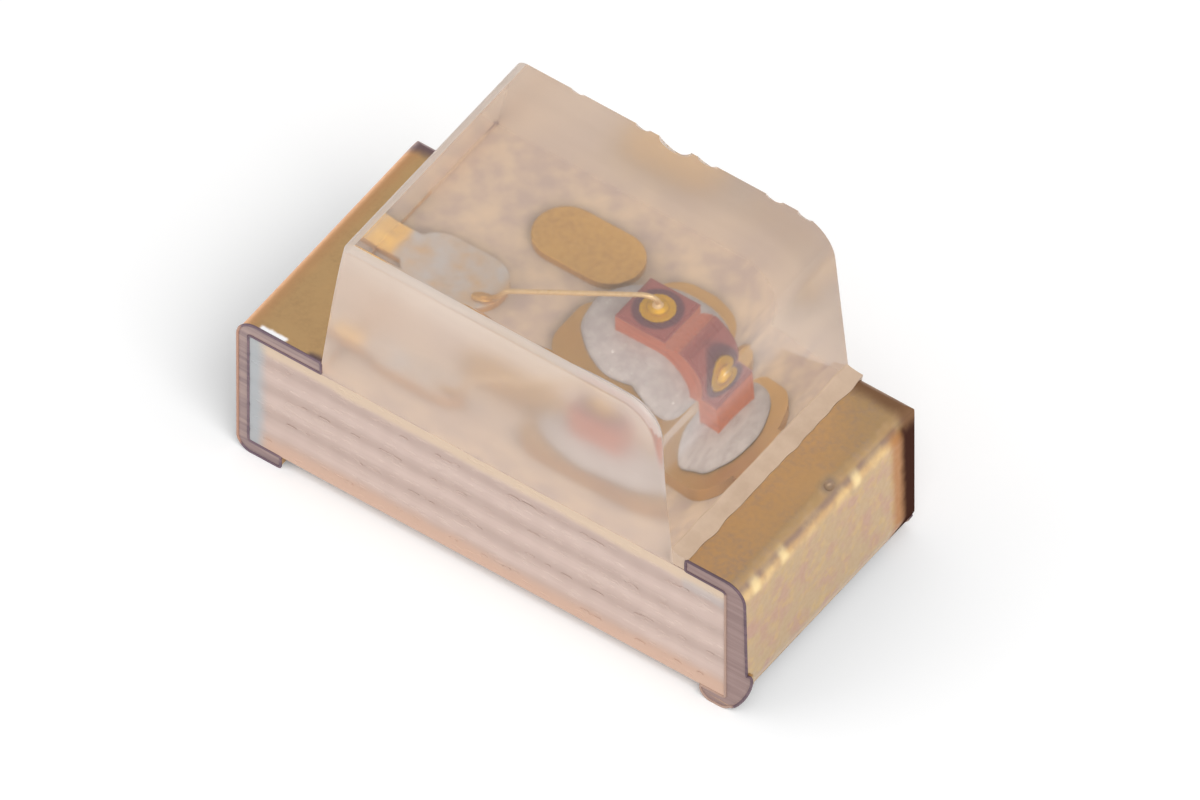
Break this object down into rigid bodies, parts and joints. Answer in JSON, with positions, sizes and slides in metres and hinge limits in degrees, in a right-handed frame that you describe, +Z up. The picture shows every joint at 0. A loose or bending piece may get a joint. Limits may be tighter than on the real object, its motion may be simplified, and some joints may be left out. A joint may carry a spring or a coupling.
{
  "type": "surface-mount light-emitting diode",
  "caption": "Chip LED: a red die and bond wire under a clear moulded lens on a laminated board with wrapped gold end terminals.",
  "frame": {"origin": "middle of the footprint, on the plane that the terminals' feet stand on", "axes": "+X along the board towards the end that carries the die, +Y across it towards the far sawn face, +Z up through the lens"},
  "size_m": [0.0016, 0.0008, 0.001],
  "materials": {
    "laminate": "sawn glass-epoxy laminate",
    "plated_gold": "satin gold plating on copper",
    "silver_epoxy": "cured silver-filled epoxy",
    "red_crystal": "sawn crystal",
    "electrode_gold": "bright gold",
    "clear_epoxy": "clear moulded epoxy, frosted where sawn",
    "printed_resist": "printed solder resist"
  },
  "bodies": {
    "root": {"substrate": "laminate", "left_terminal": "plated_gold", "right_terminal": "plated_gold", "oval_pad": "plated_gold", "die_attach": "silver_epoxy", "led_die": "red_crystal", "die_electrode": "electrode_gold", "bond_wire": "electrode_gold", "lens": "clear_epoxy", "polarity_mark": "printed_resist"}
  },
  "joints": []
}
